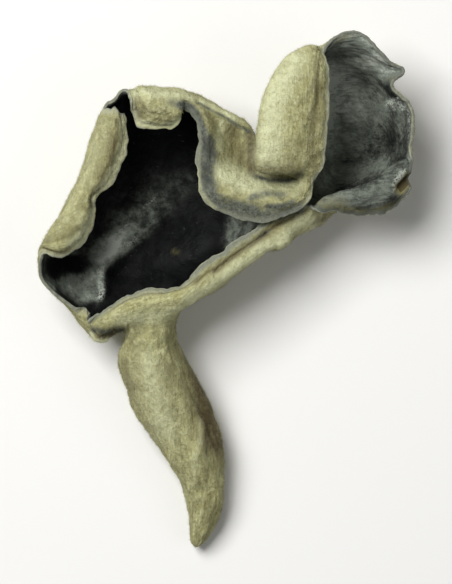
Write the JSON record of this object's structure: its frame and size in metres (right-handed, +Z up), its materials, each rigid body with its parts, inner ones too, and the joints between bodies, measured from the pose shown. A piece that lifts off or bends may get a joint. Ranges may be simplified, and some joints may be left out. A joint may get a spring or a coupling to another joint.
{
  "type": "dried wood ear mushroom",
  "caption": "Dried wood ear mushroom: one thin leathery sheet rolled, folded and pinched into two hollows, black and smooth inside, khaki and felted outside, with a pouch-like stem.",
  "frame": {"origin": "middle of the bottom of the bounding box, on the surface that the mushroom lies on", "axes": "+Z up, away from the surface it lies on; +Y from the stem's toe to the back margin, along the longest extent; +X to the right, from the large hollow towards the small hollow"},
  "size_m": [0.044, 0.0604, 0.0163],
  "materials": {
    "dried_flesh": "outer face khaki, matt and felted with very short hairs; inner face black, smooth, satin, with a grey bloom on its ridges; a narrow pale margin"
  },
  "bodies": {
    "root": {"wood_ear": "dried_flesh"}
  },
  "joints": []
}
